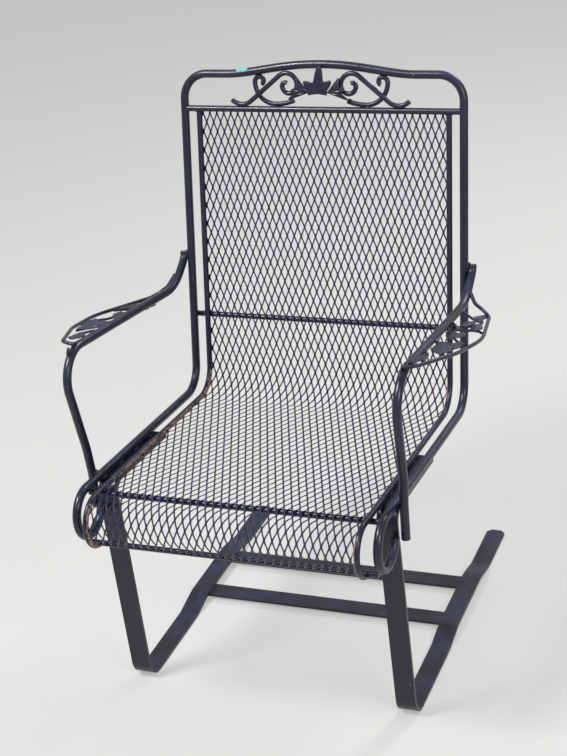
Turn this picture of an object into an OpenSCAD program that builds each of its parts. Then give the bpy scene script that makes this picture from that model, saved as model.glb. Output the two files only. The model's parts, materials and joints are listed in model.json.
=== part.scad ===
// Wrought iron patio armchair with a high mesh back and a cantilever spring base.
// The origin is on the floor, at the middle of the chair's width and of its length.
// +Z is up and the chair faces -Y. Left and right are as seen from in front of it.
// Side profiles are drawn as [y, z] pairs; bars are bent along lists of points in
// space, with one bend radius for each point.

/* [Bar stock] */
// Diameter of the round bar of the outer frame and of the arms
frame_bar_d = 16; // [14:0.5:19]
// Diameter of the two rods that border the mesh
side_rod_d = 11; // [9:0.5:13]
// Diameter of the cross rods under the mesh
cross_rod_d = 11; // [9:0.5:13]
// Diameter of the cross bar at the top of the mesh
top_bar_d = 12; // [10:0.5:14]
// Diameter of the rod of the crest scrolls
scroll_rod_d = 9.5; // [7:0.5:11]
// Diameter of the rod that outlines each arm's ornament
band_rod_d = 7; // [5:0.5:8]
// Diameter of the vine rods inside each arm's ornament
vine_rod_d = 5; // [4:0.5:6]
// Thickness of the stamped leaves
leaf_t = 2; // [1.5:0.1:3]

/* [Back] */
// Distance between the centre lines of the frame's two sides
frame_w = 564; // [460:1:690]
// Distance from the frame bar's centre line to the side rod's
side_rod_inset = 29; // [25:1:40]
// Length of the back, from the seat corner up to the top cross bar
back_len = 564; // [470:1:690]
// Lean of the back from upright, in degrees
back_lean = 12; // [6:1:18]
// Height of the middle cross rod, up the back from the seat corner
mid_rod_at = 150; // [120:1:220]

/* [Crest] */
// Height of the crest's shoulders over the top cross bar
shoulder_rise = 67; // [58:1:80]
// Height of the crest's bend point in the middle over the top cross bar
crest_rise = 92; // [84:1:100]
// Distance of the shoulders in from the frame's sides
shoulder_inset = 112; // [95:1:125]
// Bend radius of the two top corners
crest_corner_r = 48; // [30:1:60]
// Bend radius of each shoulder
shoulder_r = 300; // [100:10:400]
// Bend radius of the crest's middle
crest_r = 600; // [300:10:800]

/* [Seat] */
// Height of the corner where the seat and back lines meet
seat_corner_h = 421; // [380:1:460]
// Length of the seat's straight line, from the corner to the front curl
seat_len = 493; // [410:1:600]
// Rise of the seat towards the front, in degrees
seat_rise = 5; // [2:1:8]
// Bend radius between the seat and the back
seat_bend_r = 54; // [40:1:80]
// Bend radius of the frame's front curls
curl_r = 46; // [38:1:54]
// Turn of the front curls, in degrees
curl_turn = 255; // [225:1:261]
// How far the mesh's front roll starts ahead of the frame's curls
roll_reach = 22; // [12:1:30]
// Bend radius of the side rods in the front roll
roll_r = 47; // [40:1:56]
// Distance of the seat's front cross rod behind the start of the front curl
seat_rod_back = 11; // [4:1:24]
// Thickness of the sheet that the mesh is cut and stretched from
mesh_t = 2; // [1.2:0.1:3]

/* [Arms] */
// Height of the arm's weld, up the back from the seat corner
arm_weld_at = 273; // [250:1:310]
// Distance from the front curl's start back to where the arm passes the seat rail
arm_post_back = 56; // [50:1:62]
// Drop of the arm's dip under its weld
arm_dip = 46; // [36:1:60]
// Height of the bend point at the arm's front over the seat corner
arm_front_rise = 289; // [260:1:320]
// How far the arm's front stands outside its post
arm_flare = 10; // [0:1:30]
// How far the arm's front reaches ahead of its post
arm_reach = 30; // [10:1:50]
// Bend radius of the dip at the back of the arm
arm_dip_r = 95; // [60:1:110]
// Bend radius of the arm's front
arm_front_r = 60; // [40:1:70]
// How far the ornament stands out from the arm
band_reach = 84; // [60:1:100]

/* [Spring base] */
// Width of the flat spring bar
spring_w = 38; // [30:1:44]
// Thickness of the flat spring bar
spring_t = 6; // [5:0.5:8]
// Distance from the seat corner to the back end of the spring's flange
flange_at = 216; // [180:1:260]
// Bend radius under the seat, on the bar's centre line
knee_r = 24; // [16:1:30]
// Bend radius where the leg turns into the runner
heel_r = 36; // [24:1:50]
// How far the leg slopes back from its top to the floor
leg_slope = 14; // [0:1:30]
// Distance from the chair's middle to the tip of a runner, and to the front roll
runner_reach = 396; // [340:1:475]
// Rise of the runner over its cross bars
runner_arch = 13; // [9:0.5:18]
// Distance of the front floor bar from the chair's middle
front_floor_bar_y = 48; // [35:1:60]
// Distance of the rear floor bar from the chair's middle
rear_floor_bar_y = 178; // [150:1:220]
// Size of the slanted corners at the spring's ends
corner_cut = 9; // [4:1:12]

/* [Hidden] */
$fn = 64;

paint = "#24263a";
mesh_paint = "#2c2e44";

// A bend is this much thinner than the straight bar that it runs into.
bend_thinning = 0.06;
// Gap left where two rounded pieces are welded edge to edge.
weld_gap = 0.1;

frame_r = frame_bar_d / 2;
side_r = side_rod_d / 2;
cross_r = cross_rod_d / 2;
top_r = top_bar_d / 2;
scroll_r = scroll_rod_d / 2;
half_w = frame_w / 2;
side_x = half_w - side_rod_inset;

// Seat and back directions, and the directions away from the sitter.
seat_dir = [-cos(seat_rise), sin(seat_rise)];
back_dir = [sin(back_lean), cos(back_lean)];
seat_out = [-sin(seat_rise), -cos(seat_rise)];
back_out = [cos(back_lean), -sin(back_lean)];
opening = acos(seat_dir * back_dir);
corner_in = (seat_dir + back_dir) / norm(seat_dir + back_dir);

// The frame's front curl, before the chair is centred on the origin.
curl_start = seat_len * seat_dir;
curl_centre = curl_start + curl_r * seat_out;

// Distances under the frame's centre line of the side rods, cross rods and mesh.
side_drop = frame_r - side_r;
rod_drop = side_drop + side_r + cross_r;
mesh_drop = rod_drop - cross_r - mesh_t / 2;

// The chair is as long ahead of the origin as behind it.
roll_middle = (seat_len + roll_reach) * seat_dir + (side_drop + roll_r) * seat_out;
front_extent = min(curl_centre[0] - curl_r - frame_r, roll_middle[0] - roll_r - side_r);
seat_corner = [-runner_reach - front_extent, seat_corner_h];

function unit(v) = v / norm(v);
function clamp(v) = max(-1, min(1, v));
function turn(a, b) = acos(clamp(unit(a) * unit(b)));
function at_x(x, p) = [x, p[0], p[1]];
function flip(p) = [-p[0], p[1], p[2]];
function mirrored(list) = [for (p = list) flip(p)];

// A point of a profile line that runs at a distance below or behind the frame's line.
function corner(drop) = seat_corner - corner_in * drop / sin(opening / 2);
function on_seat(along, drop = 0) = seat_corner + along * seat_dir + drop * seat_out;
function on_back(along, drop = 0) = seat_corner + along * back_dir + drop * back_out;

// Bend points of a curl: it leaves start in direction dir and turns towards side.
curl_steps = 3;
function curl_point(start, dir, side, r, total, step) =
    let(a = total / curl_steps, s = r * tan(a / 2), c = start + r * side)
    c + r / cos(a / 2) * (sin(a * (step + 0.5)) * dir - cos(a * (step + 0.5)) * side);
function curl_end(start, dir, side, r, total) =
    start + r * side + r * (sin(total) * dir - cos(total) * side);
function curl(start, dir, side, r, total) = concat(
    [for (i = [0 : curl_steps - 1]) curl_point(start, dir, side, r, total, i)],
    [curl_end(start, dir, side, r, total)]);

// Bend points of a chain of arcs in a plane, each arc as [radius, turn to the left].
function spin(v, a) = [v[0] * cos(a) - v[1] * sin(a), v[0] * sin(a) + v[1] * cos(a)];
function arc_side(dir, a) = sign(a) * [-dir[1], dir[0]];
function arc_corner(p, dir, r, a) = p + dir * r * tan(abs(a) / 2);
function arc_end(p, dir, r, a) = arc_corner(p, dir, r, a) + spin(dir, a) * r * tan(abs(a) / 2);
function arc_chain(p, dir, arcs, i = 0) = i == len(arcs) ? [p] :
    concat([arc_corner(p, dir, arcs[i][0], arcs[i][1])],
        arc_chain(arc_end(p, dir, arcs[i][0], arcs[i][1]), spin(dir, arcs[i][1]), arcs, i + 1));

// Length taken from the straight bars on each side of a bend.
function trim_at(points, radii, i) = i == 0 || i == len(points) - 1 ? 0 :
    radii[i] * tan(turn(points[i] - points[i - 1], points[i + 1] - points[i]) / 2);
function lap_at(points, radii, i) =
    min(sqrt(radii[i] * bend_thinning), trim_at(points, radii, i) / 2);

// Places a section's plane: its x and y axes, its z axis and its origin.
module placed(x, y, z, p) {
    multmatrix([[x[0], y[0], z[0], p[0]], [x[1], y[1], z[1], p[1]],
        [x[2], y[2], z[2], p[2]], [0, 0, 0, 1]])
        children();
}

// Straight stretch between two points. The section's y axis lies along across.
module straight(a, b, across) {
    z = unit(b - a);
    x = unit(cross(across, z));
    placed(x, cross(z, x), z, a)
        linear_extrude(height = norm(b - a))
            children();
}

// Bend of radius r at point p, on the way from point a to point b.
module bend(a, p, b, r) {
    u = unit(p - a);
    w = unit(b - p);
    n = unit(cross(u, w));
    start = p - u * r * tan(turn(u, w) / 2);
    inward = cross(n, u);
    placed(-inward, cross(n, -inward), n, start + inward * r)
        rotate_extrude(angle = turn(u, w))
            translate([r, 0])
                children();
}

// Length left between the bends at the two ends of a stretch.
function bare_length(points, radii, i) = norm(points[i + 1] - points[i])
    - trim_at(points, radii, i) - trim_at(points, radii, i + 1);
function inner(points, i) = i > 0 && i < len(points) - 2;

// A direction that a bar's own direction is well away from.
function off_axis(dir) = abs(dir[2]) < 0.9 ? [0, 0, 1] : [1, 0, 0];

// One straight stretch of a bar. It laps a little into the bends beside it.
module stretch(points, radii, i, across) {
    dir = unit(points[i + 1] - points[i]);
    straight(points[i] + dir * (trim_at(points, radii, i) - lap_at(points, radii, i)),
        points[i + 1] - dir * (trim_at(points, radii, i + 1) - lap_at(points, radii, i + 1)),
        across == undef ? off_axis(dir) : across)
        children();
}

// A bar along points. Its first child is the straight section, its second the bent one.
module bent_bar(points, radii, across) {
    for (i = [0 : len(points) - 2]) {
        if (inner(points, i) || bare_length(points, radii, i) > 1)
            stretch(points, radii, i, across)
                children(0);
        if (i < len(points) - 2)
            bend(points[i], points[i + 1], points[i + 2], radii[i + 1])
                children(1);
    }
}

// A round bar along points.
module round_bar(points, radii, d) {
    bent_bar(points, radii) {
        circle(d = d);
        circle(d = d - 2 * bend_thinning);
    }
}

// A flat bar along points in a plane square to X.
module flat_bar(points, radii, w, t) {
    bent_bar(points, radii, [1, 0, 0]) {
        square([t, w], center = true);
        square([t - 2 * bend_thinning, w - 2 * bend_thinning], center = true);
    }
}

// ---- outer frame ----

frame_curl = curl(seat_corner + curl_start, seat_dir, seat_out, curl_r, curl_turn);
function frame_side(x) = concat(
    [for (i = [len(frame_curl) - 1 : -1 : 0]) at_x(x, frame_curl[i])],
    [at_x(x, seat_corner), at_x(x, on_back(back_len + shoulder_rise))]);
shoulder_x = half_w - shoulder_inset;
crest_points = [at_x(-shoulder_x, on_back(back_len + shoulder_rise)),
    at_x(0, on_back(back_len + crest_rise)),
    at_x(shoulder_x, on_back(back_len + shoulder_rise))];
frame_right = frame_side(half_w);
frame_points = concat(frame_side(-half_w), crest_points,
    [for (i = [len(frame_right) - 1 : -1 : 0]) frame_right[i]]);
side_radii = [0, curl_r, curl_r, curl_r, seat_bend_r, crest_corner_r];
frame_radii = concat(side_radii, [shoulder_r, crest_r, shoulder_r],
    [for (i = [len(side_radii) - 1 : -1 : 0]) side_radii[i]]);

module outer_frame_bar() {
    color(paint) round_bar(frame_points, frame_radii, frame_bar_d);
}

// ---- rods that border and carry the mesh ----

roll_start = on_seat(seat_len + roll_reach, side_drop);
roll_centre = roll_start + roll_r * seat_out;
// Centre of the rod that closes the roll at its lowest point.
roll_rod = roll_centre + roll_r * seat_out;
side_roll_turn = 180 - asin(cross_r / roll_r);

function side_rod_points(x) = concat(
    [at_x(x, on_back(back_len - top_r, side_drop)), at_x(x, corner(side_drop))],
    [for (p = curl(roll_start, seat_dir, seat_out, roll_r, side_roll_turn)) at_x(x, p)]);
side_rod_radii = [0, seat_bend_r + side_drop, roll_r, roll_r, roll_r, 0];

module side_rod_left() {
    color(paint) round_bar(side_rod_points(-side_x), side_rod_radii, side_rod_d);
}

module side_rod_right() {
    color(paint) round_bar(side_rod_points(side_x), side_rod_radii, side_rod_d);
}

// A straight rod from side to side, at a point of the side profile.
module cross_rod(p, half_len, r) {
    translate([-half_len, p[0], p[1]])
        rotate([0, 90, 0])
            cylinder(r = r, h = 2 * half_len);
}

module top_cross_bar() {
    color(paint)
        difference() {
            cross_rod(on_back(back_len), half_w, top_r);
            for (side = [-1, 1])
                straight(at_x(side * half_w, on_back(back_len - frame_bar_d)),
                    at_x(side * half_w, on_back(back_len + frame_bar_d)), [1, 0, 0])
                    circle(d = frame_bar_d);
        }
}

module mid_back_cross_rod() {
    color(paint) cross_rod(on_back(mid_rod_at, rod_drop), half_w, cross_r);
}

module seat_front_cross_rod() {
    color(paint) cross_rod(on_seat(seat_len - seat_rod_back, rod_drop), half_w, cross_r);
}

module front_roll_cross_rod() {
    color(paint) cross_rod(roll_rod, half_w - frame_r, cross_r);
}

// ---- mesh ----

mesh_roll_r = roll_r + side_drop - mesh_drop;
// Turn at which the mesh's edge meets the rod that closes the roll.
mesh_edge_r = mesh_roll_r + mesh_t / 2;
mesh_roll_gap = acos(clamp((roll_r * roll_r + mesh_edge_r * mesh_edge_r
    - pow(cross_r + weld_gap, 2)) / (2 * roll_r * mesh_edge_r)));
mesh_roll_turn = 180 - mesh_roll_gap;
mesh_w = 2 * (side_x - side_r - weld_gap);
mesh_points = concat(
    [at_x(0, on_back(back_len, mesh_drop)), at_x(0, corner(mesh_drop))],
    [for (p = curl(on_seat(seat_len + roll_reach, mesh_drop), seat_dir, seat_out,
        mesh_roll_r, mesh_roll_turn)) at_x(0, p)]);
mesh_radii = [0, seat_bend_r + mesh_drop, mesh_roll_r, mesh_roll_r, mesh_roll_r, 0];

module mesh_sheet() {
    color(mesh_paint) flat_bar(mesh_points, mesh_radii, mesh_w, mesh_t);
}

// ---- arms ----

arm_x = half_w + frame_bar_d;
arm_weld = on_back(arm_weld_at);
arm_post = on_seat(seat_len - arm_post_back);
curl_tip = frame_curl[len(frame_curl) - 1];
// Length of the stretch that is welded along the frame's side.
arm_weld_len = 12;
// How far ahead of the weld the arm's dip lies.
dip_reach = 62;
// Height over the seat rail of the slight bow in the arm's post, and how far out it stands.
bow_h = 52;
bow_out = 3;
// End of the arm's tail, from the tip of the frame's curl.
tail_end = [12, -8];
arm_points = [
    at_x(arm_x, on_back(arm_weld_at + arm_weld_len / 2)),
    at_x(arm_x, on_back(arm_weld_at - arm_weld_len / 2)),
    [arm_x, arm_weld[0] - dip_reach, arm_weld[1] - arm_dip],
    [arm_x + arm_flare, arm_post[0] - arm_reach, seat_corner_h + arm_front_rise],
    [arm_x + bow_out, arm_post[0], arm_post[1] + bow_h],
    at_x(arm_x, arm_post),
    at_x(arm_x, curl_tip + tail_end)];
arm_radii = [0, 22, arm_dip_r, arm_front_r, 100, 60, 0];

module arm_bar(points) {
    color(paint) round_bar(points, arm_radii, frame_bar_d);
}

module arm_bar_left() { arm_bar(mirrored(arm_points)); }
module arm_bar_right() { arm_bar(arm_points); }

// ---- arm ornaments ----

// The ornament's plane runs forward and up beside the arm. It starts behind the dip and
// under it, and ends behind the bend at the arm's front.
orn_behind_dip = 10;
orn_under_dip = 27;
orn_behind_front = 60;
orn_over_front = 1;
orn_back = arm_points[2][1] + orn_behind_dip;
orn_front = arm_points[3][1] + orn_behind_front;
orn_back_h = arm_points[2][2] - orn_under_dip;
orn_front_h = arm_points[3][2] + orn_over_front;
orn_len = orn_back - orn_front;

// A point given as [share of the ornament's reach, share of its length, height over its
// plane]. A reach of 0 is under or over the arm's centre line.
function orn(p) = [arm_x + p[0] * band_reach, orn_back - p[1] * orn_len,
    orn_back_h + p[1] * (orn_front_h - orn_back_h) + p[2]];
function orn_path(list) = [for (p = list) orn(p)];
orn_dir = unit(orn([0, 1, 0]) - orn([0, 0, 0]));
orn_up = cross([1, 0, 0], -orn_dir);

// The rod that outlines the ornament, from the top of the arm round to the arm's front.
band_points = orn_path([[0.05, -0.02, 50], [0.21, 0.016, 25], [0.56, 0.03, 3],
    [1, 0.48, 0], [0.83, 0.75, 0], [0.38, 1, 0], [0.07, 1.01, -4]]);
band_radii = [0, 16, 28, 260, 160, 14, 0];

// Each stem as the share of the length where it leaves the arm, its other points and the
// bend radius at each of them.
vine_stems = [
    [0.12, [[0.31, 0.12, 2], [0.56, 0.125, 0], [0.56, 0.245, 0], [0.2, 0.245, 0],
        [0.2, 0.165, 0], [0.38, 0.165, 0]], [12, 17, 17, 17, 7, 0]],
    [0.29, [[0.32, 0.33, 0], [0.67, 0.315, 0], [0.805, 0.355, 0]], [20, 20, 0]],
    [0.37, [[0.5, 0.53, 0], [0.81, 0.61, 0]], [90, 0]],
    [0.6, [[0.36, 0.585, 0], [0.44, 0.7, 0], [0.61, 0.79, 0]], [16, 60, 0]],
    [0.72, [[0.31, 0.8, 0], [0.4, 0.93, 0]], [40, 0]]];

// A stem starts on the arm's surface, on the way from the arm's centre line.
arm_dir = unit(arm_points[3] - arm_points[2]);
function on_arm(share) = let(y = orn_back - share * orn_len)
    arm_points[2] + arm_dir * (y - arm_points[2][1]) / arm_dir[1];
function stem_start(from, next) = let(u = unit(next - from), c = abs(u * arm_dir))
    from + u * (frame_bar_d / 2 + weld_gap + c * vine_rod_d / 2) / sqrt(1 - c * c);
function stem_points(stem) = let(rest = orn_path(stem[1]))
    concat([stem_start(on_arm(stem[0]), rest[0])], rest);

// Leaves as [share of the reach, share of the length, turn, length, width]; a turn of 0
// points forward.
arm_leaf_list = [
    [0.3, 0.13, 158, 50, 24], [0.1, 0.27, 20, 42, 17], [0.56, 0.22, 8, 62, 22],
    [0.5, 0.4, -12, 52, 21], [0.6, 0.6, 12, 48, 20], [0.4, 0.6, 8, 90, 38],
    [0.29, 0.84, -6, 62, 22]];
leaf_lift = vine_rod_d / 2 + weld_gap;

module arm_band(side) {
    points = side > 0 ? band_points : mirrored(band_points);
    arm = side > 0 ? arm_points : mirrored(arm_points);
    color(paint)
        difference() {
            round_bar(points, band_radii, band_rod_d);
            round_bar(arm, arm_radii, frame_bar_d);
        }
}

module arm_band_left() { arm_band(-1); }
module arm_band_right() { arm_band(1); }

module vine_rods(side) {
    for (stem = vine_stems) {
        points = stem_points(stem);
        round_bar(side > 0 ? points : mirrored(points), concat([0], stem[2]), vine_rod_d);
    }
}

module arm_vine_left() { color(paint) vine_rods(-1); }
module arm_vine_right() { color(paint) vine_rods(1); }

// A pointed leaf that starts at the origin and runs along +X.
module leaf(length, width) {
    r = (length * length / 4 + width * width / 4) / width;
    intersection() {
        translate([length / 2, r - width / 2]) circle(r = r);
        translate([length / 2, width / 2 - r]) circle(r = r);
    }
}

// The leaves lie on the vine rods and are cut where a rod rises through them.
module arm_leaves() {
    color(paint)
        difference() {
            for (item = arm_leaf_list)
                placed(orn_dir, [1, 0, 0], orn_up, orn([item[0], item[1], 0]) + orn_up * leaf_lift)
                    rotate([0, 0, item[2]])
                        linear_extrude(height = leaf_t)
                            leaf(item[3], item[4]);
            vine_rods(1);
            round_bar(band_points, band_radii, band_rod_d);
        }
}

module arm_leaves_left() { mirror([1, 0, 0]) arm_leaves(); }
module arm_leaves_right() { arm_leaves(); }

// ---- crest ornament ----

// Slope of the crest between a shoulder and the middle, and its height over the top bar.
crest_slope = atan((crest_rise - shoulder_rise) / shoulder_x);
function crest_height(x) = crest_rise - abs(x) * tan(crest_slope);

// Rods lie half a rod in front of or behind the crest's plane and rest on the top bar.
scroll_seat = sqrt(pow(top_r + scroll_r, 2) - scroll_r * scroll_r);
function on_crest(p, out) = at_x(p[0], on_back(back_len + p[1], out));
function crest_path(list, out) = [for (p = list) on_crest(p, out)];

// S scroll: its tail rests on the top bar and its head winds inwards.
s_tail_r = 30;
s_tail_x = 158;
s_tail_turn = 44;
s_slope = 39;
s_straight = 76;
s_start = [s_tail_x + s_tail_r * sin(s_tail_turn),
    scroll_seat + s_tail_r * (1 - cos(s_tail_turn))];
s_start_dir = [-cos(s_tail_turn), -sin(s_tail_turn)];
s_tail_arcs = [[s_tail_r, -(s_tail_turn + s_slope)]];
s_tail_chain = arc_chain(s_start, s_start_dir, s_tail_arcs);
s_rise_dir = [-cos(s_slope), sin(s_slope)];
s_head_start = s_tail_chain[1] + s_straight * s_rise_dir;
s_head_arcs = [[22, 65], [22, 64], [16, 90], [14, 90], [6, 60], [6, 60]];
s_points = concat([s_start, s_tail_chain[0]],
    arc_chain(s_head_start, s_rise_dir, s_head_arcs));
s_radii = concat([0, s_tail_r], [for (arc = s_head_arcs) arc[0]], [0]);

// C scroll: it rests on the top bar and its coil touches the crest.
c_coil_step = 2;
c_start_turn = 20;
c_start_r = 110;
c_low_x = 92;
c_rise_r = 42;
c_coil_reach = sqrt(pow(frame_r + scroll_r, 2) - scroll_r * scroll_r);
c_coil_h = scroll_seat + c_rise_r;
// The coil's radius is what is left between its centre and the crest's underside.
c_coil_gap = crest_height(c_low_x + c_rise_r) - c_coil_h;
c_coil_r = (c_coil_gap * cos(crest_slope) - c_coil_reach - weld_gap) / (1 - sin(crest_slope));
c_start = [c_low_x - c_start_r * sin(c_start_turn),
    scroll_seat + c_start_r * (1 - cos(c_start_turn))];
c_arcs = [[c_start_r, c_start_turn], [c_rise_r, 90], [c_coil_r, 90], [c_coil_r - c_coil_step, 90],
    [6, 70]];
c_points = arc_chain(c_start, [cos(c_start_turn), -sin(c_start_turn)], c_arcs);
c_radii = concat([0], [for (arc = c_arcs) arc[0]], [0]);

module crest_s_scroll(side) {
    path = crest_path(s_points, -scroll_r);
    color(paint) round_bar(side > 0 ? path : mirrored(path), s_radii, scroll_rod_d);
}

module crest_c_scroll(side) {
    path = crest_path(concat([c_start], c_points), scroll_r);
    color(paint) round_bar(side > 0 ? path : mirrored(path), c_radii, scroll_rod_d);
}

module crest_s_scroll_left() { crest_s_scroll(-1); }
module crest_s_scroll_right() { crest_s_scroll(1); }
module crest_c_scroll_left() { crest_c_scroll(-1); }
module crest_c_scroll_right() { crest_c_scroll(1); }

// Places a flat shape in the crest's plane, out in front of it. Its y axis is up.
module crest_plate(p, out, t) {
    placed([1, 0, 0], [0, back_dir[0], back_dir[1]], [0, -back_out[0], -back_out[1]],
        on_crest(p, -out))
        linear_extrude(height = t)
            children();
}

tulip_base = [18, 33];
// Radius of the round foot that a stamped form's lobes grow from.
foot_r = 4;
// Petals as [turn, length, width].
tulip_petals = [[46, 38, 15], [14, 38, 19], [-16, 43, 16]];

// Lobes that grow out of a round foot, each as [turn, length, width].
module lobed(lobes) {
    circle(r = foot_r);
    for (lobe = lobes)
        rotate([0, 0, lobe[0]])
            leaf(lobe[1], lobe[2]);
}

module tulip() {
    crest_plate(tulip_base, 2 * scroll_r, leaf_t)
        lobed(tulip_petals);
}

module crest_tulip_left() { color(paint) mirror([1, 0, 0]) tulip(); }
module crest_tulip_right() { color(paint) tulip(); }

centre_leaf_base = [0, 31];
centre_lobes = [[90, 50, 22], [42, 35, 17], [138, 35, 17]];

module crest_centre_leaf() {
    color(paint)
        crest_plate(centre_leaf_base, 2 * scroll_r + leaf_t, leaf_t)
            lobed(centre_lobes);
}

// ---- spring base ----

spring_x = (half_w + side_x) / 2;
flange_drop = frame_r + spring_t / 2;
flange_line = on_seat(0, flange_drop);
// The leg stands against the tip of the frame's curl.
tip_out = unit(frame_curl[curl_steps] - seat_corner - curl_centre);
leg_top = [curl_tip[0] + frame_r * tip_out[0] + spring_t / 2 + weld_gap, curl_tip[1]];
leg_lean = leg_slope / leg_top[1];
// Where the leg's line meets the flange's line.
knee_z = (flange_line[1] - (leg_top[0] + leg_lean * leg_top[1] - flange_line[0]) * tan(seat_rise))
    / (1 - leg_lean * tan(seat_rise));
knee = [leg_top[0] - leg_lean * (knee_z - leg_top[1]), knee_z];
heel = [leg_top[0] + leg_slope, spring_t / 2];
// The runner's raised stretch reaches a little past its cross bars, then slopes down.
arch_margin = 4;
arch_run = 60;
arch_r = 80;
arch_front = front_floor_bar_y - spring_w / 2 - arch_margin;
arch_back = rear_floor_bar_y + spring_w / 2 + arch_margin;

function spring_points(x) = [for (p = [
    on_seat(flange_at, flange_drop), knee, heel,
    [arch_front - arch_run, spring_t / 2], [arch_front, spring_t / 2 + runner_arch],
    [arch_back, spring_t / 2 + runner_arch], [arch_back + arch_run, spring_t / 2],
    [runner_reach, spring_t / 2]]) at_x(x, p)];
spring_radii = [0, knee_r, heel_r, arch_r, arch_r, arch_r, arch_r, 0];

// Takes the two corners off the end of a flat bar that lies along Y.
module end_cuts(x, p, tilt) {
    cut = corner_cut * sqrt(2);
    for (side = [-1, 1])
        translate([x + side * spring_w / 2, p[0], p[1]])
            rotate([tilt, 0, 0])
                rotate([0, 0, 45])
                    cube([cut, cut, 3 * spring_t], center = true);
}

module spring_leg(x) {
    color(paint)
        difference() {
            flat_bar(spring_points(x), spring_radii, spring_w, spring_t);
            end_cuts(x, on_seat(flange_at, flange_drop), -seat_rise);
            end_cuts(x, [runner_reach, spring_t / 2], 0);
        }
}

module spring_leg_left() { spring_leg(-spring_x); }
module spring_leg_right() { spring_leg(spring_x); }

module floor_cross_bar(y) {
    color(paint)
        translate([-spring_x - spring_w / 2 + corner_cut, y - spring_w / 2, runner_arch - spring_t])
            cube([2 * spring_x + spring_w - 2 * corner_cut, spring_w, spring_t]);
}

module floor_cross_bar_front() { floor_cross_bar(front_floor_bar_y); }
module floor_cross_bar_rear() { floor_cross_bar(rear_floor_bar_y); }

outer_frame_bar();
side_rod_left();
side_rod_right();
top_cross_bar();
mid_back_cross_rod();
seat_front_cross_rod();
front_roll_cross_rod();
mesh_sheet();
arm_bar_left();
arm_bar_right();
arm_band_left();
arm_band_right();
arm_vine_left();
arm_vine_right();
arm_leaves_left();
arm_leaves_right();
crest_s_scroll_left();
crest_s_scroll_right();
crest_c_scroll_left();
crest_c_scroll_right();
crest_tulip_left();
crest_tulip_right();
crest_centre_leaf();
spring_leg_left();
spring_leg_right();
floor_cross_bar_front();
floor_cross_bar_rear();
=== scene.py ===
"""Looks of a wrought iron patio armchair with an expanded metal back and seat.

The sizes in the classes are in millimetres, as in the part's source, and become metres
where a mesh is made. The chair stands on the floor, +Z is up and it faces -Y.
"""
import json
import logging
import math
from dataclasses import dataclass, field
from enum import Enum
from typing import Any, Callable, Iterable, Sequence

import bmesh
import bpy
from mathutils import Matrix, Vector, noise


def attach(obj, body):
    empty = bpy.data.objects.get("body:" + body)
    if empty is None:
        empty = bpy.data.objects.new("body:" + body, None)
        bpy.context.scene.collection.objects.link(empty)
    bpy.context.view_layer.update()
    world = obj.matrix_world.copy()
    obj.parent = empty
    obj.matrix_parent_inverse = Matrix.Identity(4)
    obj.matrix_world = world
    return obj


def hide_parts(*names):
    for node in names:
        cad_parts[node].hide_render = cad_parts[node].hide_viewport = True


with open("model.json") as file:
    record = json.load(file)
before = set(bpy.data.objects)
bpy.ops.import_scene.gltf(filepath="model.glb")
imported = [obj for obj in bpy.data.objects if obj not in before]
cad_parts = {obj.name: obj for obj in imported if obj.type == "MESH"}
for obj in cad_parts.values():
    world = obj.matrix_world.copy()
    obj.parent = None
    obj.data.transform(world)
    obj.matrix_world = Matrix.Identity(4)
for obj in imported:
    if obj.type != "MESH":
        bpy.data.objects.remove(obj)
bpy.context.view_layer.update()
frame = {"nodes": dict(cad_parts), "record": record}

MM = 0.001
LOG = logging.getLogger("chair")

MATH = "ShaderNodeMath"
MIX = "ShaderNodeMix"
NOISE = "ShaderNodeTexNoise"
RANGE = "ShaderNodeMapRange"
VECTORS = "ShaderNodeVectorMath"

STRAIGHT = 1e-4  # A turn in radians below which a line has no bend.
MERGE = 0.00002  # Points of stamped work closer than this, in metres, are one.
THIN = 0.00001  # Edges of stamped work shorter than this, in metres, are dissolved.
SAME = 0.000001  # Points of tape closer than this, in metres, are one.
X_AXIS = Vector((1, 0, 0))
Y_AXIS = Vector((0, 1, 0))

Grid = list[list[bmesh.types.BMVert]]


class Side(Enum):
    """A side of the chair, as seen from in front."""

    LEFT = -1
    RIGHT = 1


class Slot(Enum):
    """The material slots of the part."""

    FRAME = "frame_paint"
    MESH = "mesh_paint"
    ORNAMENT = "ornament_paint"
    LEAF = "leaf_paint"
    SPRING = "spring_paint"


def linear(code: str) -> tuple[float, float, float, float]:
    """Turns an sRGB hex colour into linear RGBA.

    Args:
        code: the colour as #rrggbb.

    Returns:
        The four linear channels.
    """
    channels = [int(code[i : i + 2], 16) / 255 for i in (1, 3, 5)]
    values = [c / 12.92 if c <= 0.04045 else ((c + 0.055) / 1.055) ** 2.4 for c in channels]
    return (values[0], values[1], values[2], 1.0)


def scale_of(size_mm: float) -> float:
    """The scale of a noise whose features have a size in millimetres."""
    return 1 / (size_mm * MM)


def add(
    tree: bpy.types.NodeTree, kind: str, inputs: dict[Any, Any] | None = None, **settings: Any
) -> bpy.types.Node:
    """Adds a node with its settings, values and links.

    Args:
        tree: the tree to add to.
        kind: the node's type.
        inputs: for each input name or number, a value, another node's output, or another
            node, which stands for the first output that it has in use.
        **settings: the node's own properties.

    Returns:
        The new node.
    """
    node = tree.nodes.new(kind)
    for name, value in settings.items():
        setattr(node, name, value)
    for key, value in (inputs or {}).items():
        if isinstance(value, bpy.types.Node):
            value = next(socket for socket in value.outputs if socket.enabled)
        if isinstance(value, bpy.types.NodeSocket):
            tree.links.new(value, node.inputs[key])
        else:
            node.inputs[key].default_value = value
    return node


def blank_material(name: str) -> bpy.types.Material:
    """Makes a material with an empty node tree.

    Args:
        name: the material's name.

    Returns:
        The material.
    """
    material = bpy.data.materials.new(name)
    material.use_nodes = True
    material.node_tree.nodes.clear()
    return material


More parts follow.
